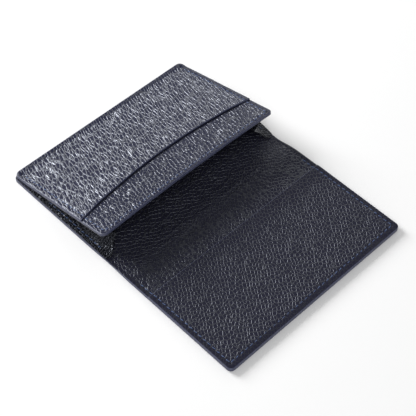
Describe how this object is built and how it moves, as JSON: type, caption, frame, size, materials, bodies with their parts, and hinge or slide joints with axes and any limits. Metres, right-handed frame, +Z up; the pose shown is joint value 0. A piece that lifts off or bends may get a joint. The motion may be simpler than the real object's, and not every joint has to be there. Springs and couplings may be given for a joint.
{
  "type": "card holder",
  "caption": "Bifold leather card holder, open flat: hinged flap with slip pocket, raised gusset pocket with arc-mouthed slip pocket.",
  "frame": {"origin": "centre of the box's underside, under the middle of the fold, on the surface the open holder lies on", "axes": "+X along the fold, +Y from the fold toward the sewn end of the gusset pocket, +Z up"},
  "size_m": [0.11, 0.1474, 0.0178],
  "materials": {
    "outer_leather": "navy pebbled full-grain leather, semi-gloss",
    "inner_leather": "dark navy pebbled leather, soft sheen",
    "gusset_leather": "dark navy pebbled leather, glossier",
    "sewing_thread": "waxed polyester thread, slate blue",
    "stiffening_board": "grey bonded board, hidden",
    "reinforcing_tape": "white non-woven tape, hidden"
  },
  "bodies": {
    "back": {"back_cover": "outer_leather", "back_board": "stiffening_board", "back_lining": "inner_leather", "fold_cover": "outer_leather", "fold_tape": "reinforcing_tape", "fold_lining": "inner_leather", "left_gusset": "gusset_leather", "right_gusset": "gusset_leather", "left_gusset_seam": "sewing_thread", "right_gusset_seam": "sewing_thread", "pocket_front_sewn_end": "outer_leather", "slip_pocket_sewn_end": "outer_leather", "end_seam": "sewing_thread"},
    "flap": {"flap_cover": "outer_leather", "flap_board": "stiffening_board", "flap_lining": "inner_leather", "flap_slip_pocket": "inner_leather", "flap_seam": "sewing_thread"},
    "pocket": {"pocket_lining": "inner_leather", "pocket_board": "stiffening_board", "mouth_tape": "reinforcing_tape", "pocket_front": "outer_leather", "slip_pocket": "outer_leather", "pocket_seam": "sewing_thread"}
  },
  "joints": [
    {"name": "flap_fold", "type": "hinge", "parent": "back", "child": "flap", "pos_m": [0, 0, 0.0054], "axis": [-1, 0, 0], "range_deg": [0, 180], "deforming": ["fold_cover", "fold_tape", "fold_lining"]},
    {"name": "pocket_flatten", "type": "hinge", "parent": "back", "child": "pocket", "pos_m": [0, 0.069, 0.00195], "axis": [1, 0, 0], "range_deg": [0, 10.5], "deforming": ["left_gusset", "right_gusset"]}
  ],
  "couplings": [
    {"joint": "pocket_flatten", "follows": "flap_fold", "ratio": 0.058333}
  ]
}
